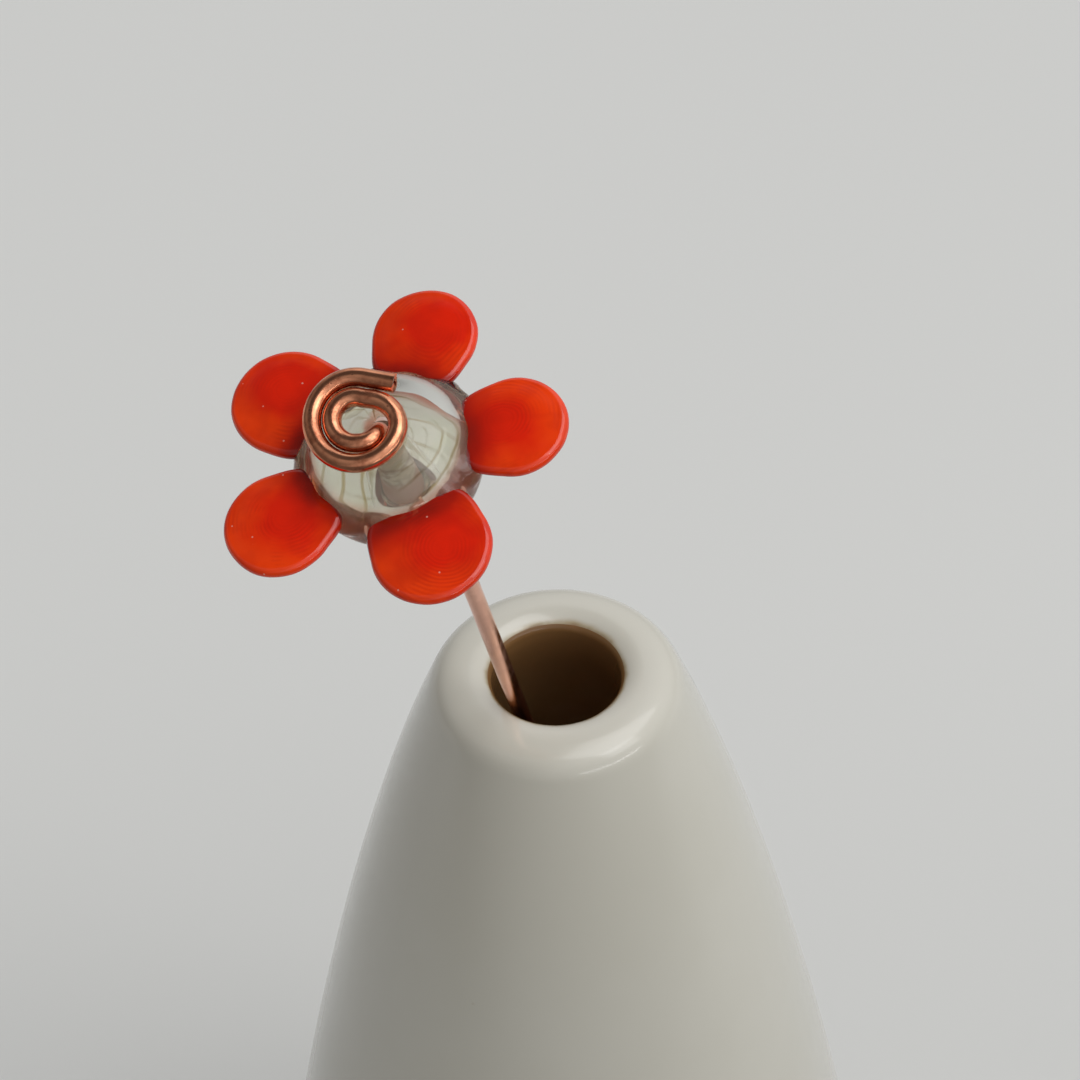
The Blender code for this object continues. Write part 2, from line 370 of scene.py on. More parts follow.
def vaseOutline(v):  # up the inside, over the lip, down the outside and under the foot
    floorEdge = Vector((v["footRadius"] - v["wall"], v["floor"]))
    innerBelly = Vector((v["bellyRadius"] - v["wall"], v["bellyHeight"]))
    neck = Vector((v["neckRadius"], vaseHeight - v["neckDrop"]))
    throat = Vector((v["mouthRadius"], vaseHeight - v["mouthEdge"]))
    crest = Vector((v["lipRadius"], vaseHeight))
    shoulder = Vector((v["shoulderRadius"], vaseHeight - v["shoulderDrop"]))
    belly = Vector((v["bellyRadius"], v["bellyHeight"]))
    foot = Vector((v["footRadius"], v["footEdge"]))
    ringInside = v["footRadius"] - v["footRing"]
    edge = v["footEdge"]
    down = Vector((0, -v["bellyPull"]))
    outwards = Vector((v["neckRadius"] - v["mouthRadius"], 0))
    lipAcross = v["lipRadius"] - v["mouthRadius"]
    return (
        [(0, v["floor"]), (floorEdge[0] / 2, v["floor"])]
        + bezier(floorEdge, floorEdge + outwards * 5, innerBelly + down, innerBelly, 12)
        + bezier(innerBelly, innerBelly - down, neck + v["neckPull"], neck, 22)
        + bezier(neck, neck - v["neckPull"] / 5, throat + down / 5, throat, 10)
        + ellipseArc((v["lipRadius"], throat[1]), lipAcross, v["mouthEdge"], 180, 90, 14)
        + bezier(crest, crest + outwards * 2, shoulder - v["shoulderPull"] / 16, shoulder, 14)
        + bezier(shoulder, shoulder + v["shoulderPull"], belly - down, belly, 40)
        + bezier(belly, belly + down, foot + v["footPull"], foot, 20)
        + ellipseArc((foot[0] - edge, edge), edge, edge, 0, -90, 6)
        + [(foot[0] - edge, 0), (ringInside + edge, 0)]
        + ellipseArc((ringInside, v["footRecess"]), edge, v["footRecess"], -60, -180, 8)
        + [(ringInside - edge, v["footRecess"]), (0, v["footRecess"])]
    )


def glazeSurface(tree, shader, look):  # the unevenness of a dipped and fired glaze
    place = objectPlace(tree)
    wave = useGroup(tree, drawnLines, Place=place, Stretch=(110, 110, 80), Detail=1.0)
    runs = useGroup(tree, drawnLines, Place=place, Stretch=(260, 260, 14), Detail=2.0)
    bumpBy(tree, shader, calc(tree, "ADD", wave, calc(tree, "MULTIPLY", runs, 0.2)), *look["wave"])
    change = look["roughnessChange"]
    gloss = useGroup(tree, cloudyChange, Place=place, Scale=220.0,
                     Low=look["roughness"] - change, High=look["roughness"] + change)
    tree.links.new(gloss, shader.inputs["Roughness"])
    return place, runs


def makeCreamGlaze(look):
    material, tree, shader = newMaterial("creamGlaze")
    place, runs = glazeSurface(tree, shader, look)
    cloud = useGroup(tree, cloudyChange, Place=place, Scale=55.0, Low=0.0, High=1.0)
    tone = calc(tree, "ADD", calc(tree, "MULTIPLY", cloud, 0.7), calc(tree, "MULTIPLY", runs, 0.3))
    cream = mixColours(tree, tone, look["cream"], look["creamDeep"])
    specks = useGroup(tree, tinySpecks, Place=place, Scale=420.0, Share=0.04, Size=0.09)
    cream = mixColours(tree, calc(tree, "MULTIPLY", specks, 0.15), cream, look["fringe"])
    # the glaze thins over the mouth's edge and lets the brown through, unevenly
    axes = axesOf(tree, place)
    ragged = useGroup(tree, cloudyChange, Place=place, Scale=500.0,
                      Low=-look["fringeRagged"], High=look["fringeRagged"])
    radius = calc(tree, "ADD", ringRadius(tree, axes), ragged)
    edge = remap(tree, radius, look["fringeFrom"], look["fringeTo"], 0, 1)
    deep, shallow = look["fringeDown"]
    edge = calc(tree, "MAXIMUM", edge, remap(tree, axes[2], vaseHeight - deep, vaseHeight - shallow, 1, 0))
    # the brown just inside the mouth is darkened as painted shade
    lip = ramp(tree, edge, [(0.0, look["brownShaded"]), (0.35, look["fringe"]), (1.0, look["cream"])])
    tree.links.new(mixColours(tree, edge, lip, cream), shader.inputs["Base Color"])
    shader.inputs["Coat Weight"].default_value = look["coat"]
    shader.inputs["Coat Roughness"].default_value = look["coatRoughness"]
    return material


def makeBrownGlaze(look):
    material, tree, shader = newMaterial("brownGlaze")
    place, runs = glazeSurface(tree, shader, look)
    tone = useGroup(tree, cloudyChange, Place=place, Scale=160.0, Low=0.0, High=1.0)
    streaked = mixColours(tree, calc(tree, "MULTIPLY", tone, runs), look["brown"], look["brownPale"])
    # painted shade near the mouth and painted light deeper down: darker towards the top, paler below
    deep, shallow = look["brownShadeDown"]
    shadedNearTop = remap(tree, axesOf(tree, place)[2], vaseHeight - deep, vaseHeight - shallow, 0, 1)
    tree.links.new(mixColours(tree, shadedNearTop, streaked, look["brownShaded"]), shader.inputs["Base Color"])
    return material


def makeBareClay(look):
    material, tree, shader = newMaterial("bareClay")
    place = objectPlace(tree)
    grit = useGroup(tree, tinySpecks, Place=place, Scale=1500.0, Share=0.35, Size=0.35)
    tone = useGroup(tree, cloudyChange, Place=place, Scale=300.0, Low=0.85, High=1.05)
    grey = put(tree, "CombineColor", Red=tone, Green=tone, Blue=tone).outputs[0]
    clay = mixColours(tree, 1.0, look["clay"], grey, "MULTIPLY")
    clay = mixColours(tree, calc(tree, "MULTIPLY", grit, 0.5), clay, look["fringe"])
    tree.links.new(clay, shader.inputs["Base Color"])
    bumpBy(tree, shader, grit, *look["grit"])
    shader.inputs["Roughness"].default_value = 0.85
    return material


def makeVase():
    v = vaseShape
    vase = spinOutline("glazedVase", vaseOutline(v), v["sides"])
    materials = (makeCreamGlaze(glazeLook), makeBrownGlaze(glazeLook), makeBareClay(glazeLook))
    for material in materials:
        vase.data.materials.append(material)
    insideTop = vaseHeight - v["mouthEdge"] / 2
    footLine = v["footEdge"] * 2
    for face in vase.data.polygons:
        middle, normal = face.center, face.normal
        faceIn = normal.x * middle.x + normal.y * middle.y < 0
        onFloor = middle.z < v["bellyHeight"] and normal.z > 0.9
        if (faceIn and middle.z < insideTop and middle.z > v["footRecess"] + tiny) or onFloor:
            face.material_index = 1
        elif middle.z < footLine:
            face.material_index = 2
    smooth(vase, 40)
    dress(vase, "vase_glaze", "vase")
    print("vase made:", len(vase.data.polygons), "faces")


flowerPose = {
    "place": Vector((-10.2, -11.9, 33.9)) * mm,  # the bead's middle, from the middle of the mouth
    "lean": math.radians(18.2),
    "facing": math.radians(32.6),  # from -Y towards -X
    "spin": math.radians(48.7),
}


def flowerFrame():
    mouth = Matrix.Translation(Vector((0, 0, vaseHeight)) + flowerPose["place"])
    facing = Matrix.Rotation(-flowerPose["facing"], 4, "Z")
    lean = Matrix.Rotation(flowerPose["lean"], 4, "X")
    return mouth @ facing @ lean @ Matrix.Rotation(flowerPose["spin"], 4, "Z")


beadShape = {
    "radius": 6.15 * mm,
    "front": 4.4 * mm,
    "back": 4.0 * mm,
    "holeRadius": 0.86 * mm,
    "holeLip": 0.8 * mm,
    "liningTop": -0.5 * mm,  # the clay stops here, and the wall is pale in front of it
    "sides": 128,
    # the clear glass that is drawn up at both corners of each petal's root
    "collarTurn": math.radians(25),
    "collarRadius": 5.85 * mm,
    "collarHeight": 1.3 * mm,
    "collarPull": 0.5 * mm,
    "collarSize": 1.2 * mm,
    "uneven": 0.10 * mm,  # how deep the soft dents of the worked glass are
    "unevenSize": 3.2 * mm,
}

clearLook = {
    "glass": (0.985, 0.985, 0.95),
    "glassIor": 1.5,
    "wave": (0.10, 0.05 * mm),  # strength and height of the bump
    "veil": (0.93, 0.95, 0.80),
    "veilPale": (0.998, 0.998, 0.94),
    "bleedAndReflection": (0.80, 0.36, 0.27),  # the red in the clear glass round the rim, partly the petals' red bled into it and partly a painted reflection of the petals
    "bleedAndReflectionFrom": (4.7 * mm, 5.6 * mm),
    "wallPale": (0.86, 0.87, 0.74),
    # painted light: the lining is near white, paler than the clay, to make up for the light the glass keeps
    # from it
    "liningLit": (0.99, 0.98, 0.95),
    "liningDark": (0.42, 0.34, 0.29),
    "liningEnd": (0.66, 0.27, 0.21),
    "liningEndAt": (-2.3 * mm, -1.5 * mm),  # the low end of the hole is reddish up to here
    "liningRagged": 0.25 * mm,
    "milk": 0.76,  # how much light the milky glass lets through
    "milkIor": 1.02,
    "milkRoughness": 0.06,
    "wispScale": 380.0,
    "ochre": (0.46, 0.33, 0.09),
    "rim": (0.74, 0.22, 0.12),  # the milky glass reddens near the petals
    "rimFrom": (4.3 * mm, 4.95 * mm),
}

coreShape = {
    "radius": 5.00 * mm,
    "front": 3.45 * mm,
    "back": 3.55 * mm,
    "holeRadius": 1.1 * mm,
    "sagWay": (-0.64, -0.77, -0.25),
    "sag": 0.75 * mm,  # of the lower side
    "sagAbove": 1.15 * mm,  # of the upper side
    "sagSize": 3.2 * mm,
    "sides": 96,
    "uneven": 0.5 * mm,
    "unevenSize": 2.4 * mm,
}


def beadOutline(b):  # front edge of the hole, over the outside to the back edge, and up the hole
    lipMiddle = b["holeRadius"] + b["holeLip"]
    reach = math.degrees(math.acos(lipMiddle / b["radius"]))
    rise = math.sin(math.radians(reach))
    frontLip = (lipMiddle, b["front"] * rise - b["holeLip"])
    backLip = (lipMiddle, b["holeLip"] - b["back"] * rise)
    steps = 8
    wall = [(b["holeRadius"], backLip[1] + (frontLip[1] - backLip[1]) * i / steps) for i in range(steps)]
    outline = (
        ellipseArc((0, 0), b["radius"], b["front"], reach, 0, 34)
        + ellipseArc((0, 0), b["radius"], b["back"], 0, -reach, 34)
        + ellipseArc(backLip, b["holeLip"], b["holeLip"], 270, 180, 8)
        + wall
        + ellipseArc(frontLip, b["holeLip"], b["holeLip"], 180, 90, 8)
    )
    return outline + outline[:1]


def makeClearGlass(look):
    material, tree, shader = newMaterial("clearGlass")
    place = objectPlace(tree)
    swirl = put(tree, "TexNoise", Vector=place, Scale=170.0, Detail=3.0, Distortion=2.2)
    veil = remap(tree, swirl.outputs[0], 0.5, 0.72, 0, 0.8)
    colour = mixColours(tree, veil, look["glass"], look["veil"])
    # the red bleeds a little into the clear glass round the rim, and the same tint paints in the petals'
    # reflection there
    radius = ringRadius(tree, axesOf(tree, ownPlace(tree, "beadPlace")))
    rim = remap(tree, radius, *look["bleedAndReflectionFrom"], 0, 1)
    patches = useGroup(tree, cloudyChange, Place=place, Scale=260.0, Low=0.6, High=1.0)
    tree.links.new(mixColours(tree, calc(tree, "MULTIPLY", rim, patches), colour, look["bleedAndReflection"]),
                   shader.inputs["Base Color"])
    shader.inputs["Transmission Weight"].default_value = 1.0
    shader.inputs["IOR"].default_value = look["glassIor"]
    shader.inputs["Roughness"].default_value = 0.0
    bumpBy(tree, shader, useGroup(tree, cloudyChange, Place=place, Scale=420.0, Low=0.0, High=1.0),
           *look["wave"])
    return material


def makeHoleLining(look):  # what the mandrel's clay leaves on the wall of the hole
    material, tree, shader = newMaterial("holeLining")
    place = ownPlace(tree, "beadPlace")
    tone = useGroup(tree, cloudyChange, Place=place, Scale=3600.0, Low=0.0, High=1.0)
    patch = useGroup(tree, cloudyChange, Place=place, Scale=900.0, Low=0.5, High=1.0)
    # the pale lining colour is painted light
    colour = mixColours(tree, calc(tree, "MULTIPLY", tone, patch), look["liningLit"], look["liningDark"])
    level = axesOf(tree, place)[2]
    low = remap(tree, level, *look["liningEndAt"], 0.85, 0)
    colour = mixColours(tree, low, colour, look["liningEnd"])
    ragged = useGroup(tree, cloudyChange, Place=place, Scale=900.0,
                      Low=-look["liningRagged"], High=look["liningRagged"])
    level = calc(tree, "ADD", level, ragged)
    top = beadShape["liningTop"]
    colour = mixColours(tree, remap(tree, level, top - 0.5 * mm, top, 0, 0.8), colour, look["liningDark"])
    pale = remap(tree, level, top, top + 0.12 * mm, 0, 1)
    tree.links.new(mixColours(tree, pale, colour, look["wallPale"]), shader.inputs["Base Color"])
    shader.inputs["Roughness"].default_value = 0.9
    return material


def makeVeiledGlass(look):  # the pale glass inside, with ochre wisps wound round the hole
    material, tree, shader = newMaterial("veiledGlass")
    place = ownPlace(tree, "beadPlace")
    tone = useGroup(tree, cloudyChange, Place=place, Scale=260.0, Low=0.0, High=1.0)
    colour = mixColours(tree, tone, look["veilPale"], look["veil"])
    wisps = put(tree, "TexWave", {"wave_type": "RINGS", "rings_direction": "Z"}, Vector=place,
                Scale=look["wispScale"], Distortion=5.0, Detail=3.0)
    wisps.inputs["Detail Scale"].default_value = 0.5
    thin = remap(tree, wisps.outputs["Fac"], 0.85, 1.0, 0, 1)
    here = useGroup(tree, cloudyChange, Place=place, Scale=240.0, Low=-0.40, High=1.0)
    strength = calc(tree, "MAXIMUM", calc(tree, "MULTIPLY", thin, here), 0.0)
    colour = mixColours(tree, strength, colour, look["ochre"])
    rim = remap(tree, ringRadius(tree, axesOf(tree, place)), *look["rimFrom"], 0, 0.85)
    tree.links.new(mixColours(tree, rim, colour, look["rim"]), shader.inputs["Base Color"])
    shader.inputs["Transmission Weight"].default_value = look["milk"]
    shader.inputs["IOR"].default_value = look["milkIor"]
    shader.inputs["Roughness"].default_value = look["milkRoughness"]
    return material


def makeCore():
    c = coreShape
    reach = math.degrees(math.acos(c["holeRadius"] / c["radius"]))
    outline = (ellipseArc((0, 0), c["radius"], c["front"], reach, 0, 24)
               + ellipseArc((0, 0), c["radius"], c["back"], 0, -reach, 25))
    core = spinOutline("veiledCore", outline + outline[:1], c["sides"])
    keepPlace(core, "beadPlace")
    core.data.materials.append(makeVeiledGlass(clearLook))
    # it sags towards the flower's lower side, and leaves clear glass over its upper side
    way = Vector(c["sagWay"]).normalized()
    for side, sag in ((1, c["sag"]), (-1, c["sagAbove"])):
        pickVerts(core, lambda co: co.normalized().dot(way * side) > 0.9)
        softMove(way * sag, c["sagSize"])
    bpy.ops.object.mode_set(mode="OBJECT")
    dents(core, "coreDents", c)
    smooth(core, 50)
    putIn(core, flowerFrame())
    dress(core, "clear_glass")


def makeBead():
    b = beadShape
    bead = spinOutline("glassBead", beadOutline(b), b["sides"])
    keepPlace(bead, "beadPlace")
    bead.data.materials.append(makeClearGlass(clearLook))
    bead.data.materials.append(makeHoleLining(clearLook))
    for face in bead.data.polygons:
        inHole = face.center.xy.length < b["holeRadius"] * 1.03
        face.material_index = 1 if inHole and face.normal.xy.dot(face.center.xy) < 0 else 0
    # a little clear glass is drawn up round both corners of each petal's root
    for bearing, radius, out in petalSet["petals"]:
        for side in (1, -1):
            angle = math.radians(bearing) + b["collarTurn"] * side
            way = Vector((math.cos(angle), math.sin(angle), 0))
            spot = way * b["collarRadius"] + Vector((0, 0, b["collarHeight"]))
            pickVerts(bead, lambda co: (co - spot).length < b["collarSize"] * 0.4)
            softMove(way * b["collarPull"], b["collarSize"])
    bpy.ops.object.mode_set(mode="OBJECT")
    dents(bead, "beadDents", b)
    smooth(bead, 50)
    putIn(bead, flowerFrame())
    dress(bead, "clear_glass", "glass_centre")
    makeCore()
    print("bead made:", len(bead.data.polygons), "faces")


petalSet = {
    # bearing round the bead in degrees, radius of the pressed disc, how far out its middle is
    "petals": (
        (54.4, 3.6 * mm, 8.4 * mm),
        (129.4, 3.85 * mm, 7.95 * mm),
        (195.8, 3.75 * mm, 8.65 * mm),
        (272.0, 4.05 * mm, 8.2 * mm),
        (345.6, 3.63 * mm, 8.4 * mm),
    ),
    "height": 1.5 * mm,
    "radius": 3.8 * mm,  # of the one that the others are copied from
    "rim": 0.52 * mm,  # radius of the round edge
    "rise": 0.34 * mm,  # how much higher than the edge the middle of each face stands
    "sides": 128,
    "rimSteps": 8,
    "rings": 8,  # insets across each face
    "rootAt": 5.50 * mm,  # the disc is cut off where it meets the bead, this far from the bead's axis
    "cornerFrom": 1.75 * mm,  # what counts as a corner of the root, from the petal's middle line
    "cornerPull": (0.40 * mm, 0.27 * mm),  # inwards and sideways
    "cornerSize": 2.3 * mm,
    "ringShift": 0.7 * mm,  # the wound rings aren't centred
    "uneven": 0.10 * mm,
    "unevenSize": 2.6 * mm,
    "unevenLevel": 0.9,
}

redLook = {
    "deep": (0.50, 0.009, 0.0008),
    # the darkest red, painted shade at the root where it meets the bead
    "root": (0.26, 0.008, 0.002),
    "deepShadeFrom": (5.5 * mm, 8.0 * mm),  # painted shade at the root, measured from the bead's axis
    "rootShadeFrom": (5.4 * mm, 6.8 * mm),
    "red": (0.80, 0.016, 0.0005),
    # painted glow: more orange towards the thin edge, where light comes through
    "orangeGlow": (0.93, 0.052, 0.001),
    "thin": (0.95, 0.42, 0.30),  # painted light: the cut face inside the bead is pale, for light through the fused red glass
    "litCutDeep": (0.80, 0.16, 0.09),
    "dust": (0.85, 0.50, 0.40),
    "ringScale": 1150.0,  # one ring to about 0.27 mm
    "gloss": (0.03, 0.07),
    "wave": (0.15, 0.05 * mm),
    "ior": 1.5,
    "specular": 0.6,
}


def makeRedGlass(look):
    material, tree, shader = newMaterial("redGlass")
    place = ownPlace(tree, "petalPlace")
    spot = objectPlace(tree)
    axes = axesOf(tree, place)
    cloud = useGroup(tree, cloudyChange, Place=spot, Scale=240.0, Low=-0.8 * mm, High=0.8 * mm)
    radius = ringRadius(tree, axes)
    out = calc(tree, "ADD", radius, cloud)
    # painted light: paler orange towards the rim, for the glow through the thin edge
    tone = remap(tree, out, 0.4 * mm, 3.9 * mm, 0, 1)
    colour = ramp(tree, tone, [(0.0, look["red"]), (0.3, look["red"]), (1.0, look["orangeGlow"])])
    # painted shade: darker where the root runs into the bead
    bead = axesOf(tree, ownPlace(tree, "beadPlace"))[0]
    inwards = calc(tree, "ADD", bead, calc(tree, "MULTIPLY", cloud, 0.45))
    colour = mixColours(tree, remap(tree, inwards, *look["deepShadeFrom"], 1, 0), colour, look["deep"])
    colour = mixColours(tree, remap(tree, inwards, *look["rootShadeFrom"], 1, 0), colour, look["root"])
    wound = put(tree, "TexWave", {"wave_type": "RINGS", "rings_direction": "Z"}, Vector=place,
                Scale=look["ringScale"], Distortion=9.0, Detail=2.0)
    wound.inputs["Detail Scale"].default_value = 0.25
    strong = useGroup(tree, cloudyChange, Place=spot, Scale=330.0, Low=-0.4, High=0.6)
    ringed = calc(tree, "MULTIPLY", wound.outputs["Fac"], calc(tree, "MAXIMUM", 0.0, strong))
    ringed = calc(tree, "MULTIPLY", ringed, remap(tree, radius, 0.3 * mm, 1.4 * mm, 0.1, 0.6))
    colour = mixColours(tree, ringed, colour, look["deep"])
    swirl = useGroup(tree, cloudyChange, Place=spot, Scale=300.0, Low=-0.15, High=0.40)
    colour = mixColours(tree, calc(tree, "MAXIMUM", swirl, 0.0), colour, look["deep"])
    dust = useGroup(tree, tinySpecks, Place=spot, Scale=1500.0, Share=0.11, Size=0.12)
    colour = mixColours(tree, calc(tree, "MULTIPLY", dust, 0.5), colour, look["dust"])
    tree.links.new(colour, shader.inputs["Base Color"])
    low, high = look["gloss"]
    gloss = useGroup(tree, cloudyChange, Place=spot, Scale=700.0, Low=low, High=high)
    tree.links.new(calc(tree, "ADD", gloss, calc(tree, "MULTIPLY", dust, 0.4)), shader.inputs["Roughness"])
    height = calc(tree, "ADD", calc(tree, "MULTIPLY", wound.outputs["Fac"], 0.05),
                  useGroup(tree, cloudyChange, Place=spot, Scale=380.0, Low=0.0, High=1.0))
    bumpBy(tree, shader, height, *look["wave"])
    shader.inputs["IOR"].default_value = look["ior"]
    shader.inputs["Specular IOR Level"].default_value = look["specular"]
    return material


def makeLitCutFace(look):  # the cut face is pale as painted light, for what comes through the fused red glass
    material, tree, shader = newMaterial("litCutFace")
    cloud = useGroup(tree, cloudyChange, Place=objectPlace(tree), Scale=700.0, Low=0.0, High=1.0)
    tree.links.new(mixColours(tree, cloud, look["thin"], look["litCutDeep"]), shader.inputs["Base Color"])
    shader.inputs["Roughness"].default_value = 0.5
    return material


def modelPetal():  # a pressed disc with a round rim
    p = petalSet
    deselectAll()
    bpy.ops.mesh.primitive_cylinder_add(vertices=p["sides"], radius=p["radius"], depth=2 * p["rim"])
    petal = named("petalModel")
    pickFaces(petal, lambda middle, normal: abs(normal.z) > 0.9)
    bpy.ops.mesh.region_to_loop()
    bpy.ops.mesh.bevel(offset=p["rim"] * 0.98, segments=p["rimSteps"], profile=0.5, affect="EDGES")
    flat = p["radius"] - p["rim"]
    ringStep = flat / (p["rings"] + 0.5)
    for side in (1, -1):
        pickFaces(petal, lambda middle, normal: normal.z * side > 0.999 and abs(middle.z) > p["rim"] * 0.99)
        for ring in range(p["rings"]):
            near, far = 1 - ring * ringStep / flat, 1 - (ring + 1) * ringStep / flat
            bpy.ops.mesh.inset(thickness=ringStep)
            bpy.ops.transform.translate(value=(0, 0, p["rise"] * (near ** 2 - far ** 2) * side))
    bpy.ops.object.mode_set(mode="OBJECT")
    petal.data.materials.append(makeRedGlass(redLook))
    petal.data.materials.append(makeLitCutFace(redLook))
    return petal


def makePetals():
    p = petalSet
    near = tiny * 10  # this close to the cut counts as on it
    model = modelPetal()
    for number, (bearing, radius, out) in enumerate(p["petals"], 1):
        makeActive(model)
        bpy.ops.object.duplicate()
        petal = named(f"redPetal_{number}")
        putIn(petal, Matrix.Diagonal((radius / p["radius"], radius / p["radius"], 1, 1)))
        angle = math.radians(bearing)
        keepPlace(petal, "beadPlace", Vector((out, 0, 0)))
        keepPlace(petal, "petalPlace", Vector((math.cos(2 * angle), math.sin(angle), 0)) * p["ringShift"])
        cut = p["rootAt"] - out
        bpy.ops.object.mode_set(mode="EDIT")
        bpy.ops.mesh.select_all(action="SELECT")
        bpy.ops.mesh.bisect(plane_co=(cut, 0, 0), plane_no=(1, 0, 0), use_fill=True, clear_inner=True,
                            threshold=tiny)
        # the cut face is made a fan, so that it stays whole when its corners are drawn out
        pickFaces(petal, lambda middle, normal: normal.x < -0.9 and abs(middle.x - cut) < near)
        bpy.ops.mesh.poke()
        bpy.ops.object.mode_set(mode="OBJECT")
        for face in petal.data.polygons:
            if face.normal.x < -0.9 and abs(face.center.x - cut) < near:
                face.material_index = 1
        # the corners of the root are drawn out round the bead
        inwards, sideways = p["cornerPull"]
        for side in (1, -1):
            pickVerts(petal, lambda co: co.x < cut + near and co.y * side > p["cornerFrom"])
            softMove((-inwards, sideways * side, 0), p["cornerSize"])
        bpy.ops.object.mode_set(mode="OBJECT")
        turn = Matrix.Rotation(angle, 4, "Z")
        putIn(petal, flowerFrame() @ turn @ Matrix.Translation((out, 0, p["height"])))
        dents(petal, "petalWaves", p, p["unevenLevel"])  # placed by now, so each is uneven in its own way
        smooth(petal, 60)
        dress(petal, "red_glass", f"petal_{number}")
        print("petal made:", len(petal.data.polygons), "faces")
    makeActive(model)
    bpy.ops.object.delete()


wireShape = {
    "radius": 0.64 * mm,
    "end": Vector((6.5, 10, 0)) * mm,  # on the vase's floor
    "pullAtFloor": 30 * mm,
    "pullAtMouth": 40 * mm,
    "stemPull": 9 * mm,
    "atMouth": Vector((-2.9, -2.55, -0.5)) * mm,
    "jog": Vector((1.6, -0.8, -3)) * mm,  # sideways bend behind the bead
    "bendPull": 1.6 * mm,
    "holeSide": 0.2 * mm,
    "gap": 0.3 * mm,
    "sideSteps": 7,
    # the cutters spread the end and left a notch between two lips
    "endSpread": 1.07,
    "notchEdge": 0.14 * mm,
    "notchWidth": 0.35,
    "notchSide": 0.1 * mm,
    "notchDepth": 0.30 * mm,
    "bites": ((0.30 * mm, -0.10 * mm), (-0.05 * mm, -0.16 * mm), (-0.42 * mm, -0.04 * mm)),
    "biteSize": 0.12 * mm,
}

coilShape = {
    "place": Vector((-1.19, 0.4, 5.55)) * mm,  # in the flower's frame
    "tilt": math.radians(10),
    "start": math.radians(-112),
    "sweep": math.radians(552),
    "inner": 1.52 * mm,
    "outer": 2.82 * mm,
    "stepFrom": math.radians(195),  # the wire moves out from the inner turn to the outer one
    "stepTo": math.radians(285),
    "stretch": 1.05,
    "tail": 2.0 * mm,
    "points": 184,
}

copperLook = {
    "bright": (0.90, 0.39, 0.22),
    "worn": (0.42, 0.135, 0.070),
    "oxide": (0.22, 0.075, 0.040),
    "stemPale": (0.93, 0.56, 0.44),  # paler and pinker down the stem than on the coil
    "stemPaleBelow": (vaseHeight + 22 * mm, vaseHeight + 34 * mm),
    "roughness": (0.14, 0.26),
    "scratches": (0.4, 0.02 * mm),
}


def coilPoints(c):  # an inner turn, a step outwards, an outer turn and a straight tail
    points = []
    for i in range(c["points"] + 1):
        sweep = c["sweep"] * i / c["points"]
        step = min(1, max(0, (sweep - c["stepFrom"]) / (c["stepTo"] - c["stepFrom"])))
        ease = step * step * (3 - 2 * step)
        radius = c["inner"] + (c["outer"] - c["inner"]) * ease
        angle = c["start"] - sweep
        points.append(Vector((radius * math.cos(angle), radius * math.sin(angle) * c["stretch"], 0)))
    onward = (points[-1] - points[-2]).normalized()
    last = points[-1]
    return points + [last + onward * c["tail"] * share for share in (0.25, 0.5, 0.75, 1.0)]


def coilFrame():
    tilt = Matrix.Rotation(coilShape["tilt"], 4, "X")
    return flowerFrame() @ Matrix.Translation(coilShape["place"]) @ tilt


def wireRoute(w):  # from the vase's floor over the lip, through the bead and round the coil
    flower = flowerFrame()
    axis = flower.to_3x3() @ Vector((0, 0, 1))
    coil = [coilFrame() @ point for point in coilPoints(coilShape)]
    onto = (coil[0] - coil[1]).normalized()
    up = Vector((0, 0, 1))
    floor = w["end"] + up * (vaseShape["floor"] + w["gap"])
    mouth = w["atMouth"] + up * vaseHeight
    behind = Vector((0, 0, -beadShape["back"] - w["gap"]))
    jogTop = flower @ behind
    jogEnd = flower @ (behind + w["jog"])
    holeTop = flower @ Vector((0, -w["holeSide"], beadShape["front"] - beadShape["holeRadius"]))
    lean = (jogEnd - mouth).normalized()
    bend = w["bendPull"]
    return (
        bezier(floor, floor + up * w["pullAtFloor"], mouth - lean * w["pullAtMouth"], mouth, 60)
        + bezier(mouth, mouth + lean * w["stemPull"], jogEnd - lean * w["stemPull"], jogEnd, 24)
        + bezier(jogEnd, jogEnd + lean * bend, jogTop - axis * bend, jogTop, 20)
        + bezier(jogTop, jogTop + axis * bend, holeTop - axis * bend, holeTop, 10)
        + bezier(holeTop, holeTop + axis * bend, coil[0] + onto * bend, coil[0], 20)
        + coil
    )


def makeCopper(look):
    material, tree, shader = newMaterial("copper")
    place = objectPlace(tree)
    along = put(tree, "UVMap", {"uv_map": "UVMap"}).outputs[0]
    lines = useGroup(tree, drawnLines, Place=along, Stretch=(70, 30, 1), Detail=3.0)
    patch = useGroup(tree, cloudyChange, Place=place, Scale=650.0, Low=0.0, High=1.0)
    fine = useGroup(tree, cloudyChange, Place=place, Scale=3200.0, Low=0.0, High=1.0)
    pits = useGroup(tree, tinySpecks, Place=place, Scale=3600.0, Share=0.10, Size=0.30)
    tarnish = calc(tree, "MULTIPLY", patch, calc(tree, "ADD", calc(tree, "MULTIPLY", fine, 0.5), 0.45))
    colour = mixColours(tree, tarnish, look["bright"], look["worn"])
    colour = mixColours(tree, calc(tree, "MULTIPLY", pits, 0.6), colour, look["oxide"])
    colour = mixColours(tree, remap(tree, lines, 0.55, 0.8, 0, 0.45), colour, look["worn"])
    stemPale = remap(tree, axesOf(tree, place)[2], *look["stemPaleBelow"], 0.75, 0)
    tree.links.new(mixColours(tree, stemPale, colour, look["stemPale"]), shader.inputs["Base Color"])
    shader.inputs["Metallic"].default_value = 1.0
    mixed = calc(tree, "ADD", calc(tree, "MULTIPLY", lines, 0.5), calc(tree, "MULTIPLY", patch, 0.5))
    tree.links.new(remap(tree, mixed, 0.2, 0.8, *look["roughness"]), shader.inputs["Roughness"])
    height = calc(tree, "SUBTRACT", lines, calc(tree, "MULTIPLY", pits, 0.5))
    bumpBy(tree, shader, height, *look["scratches"])
    return material


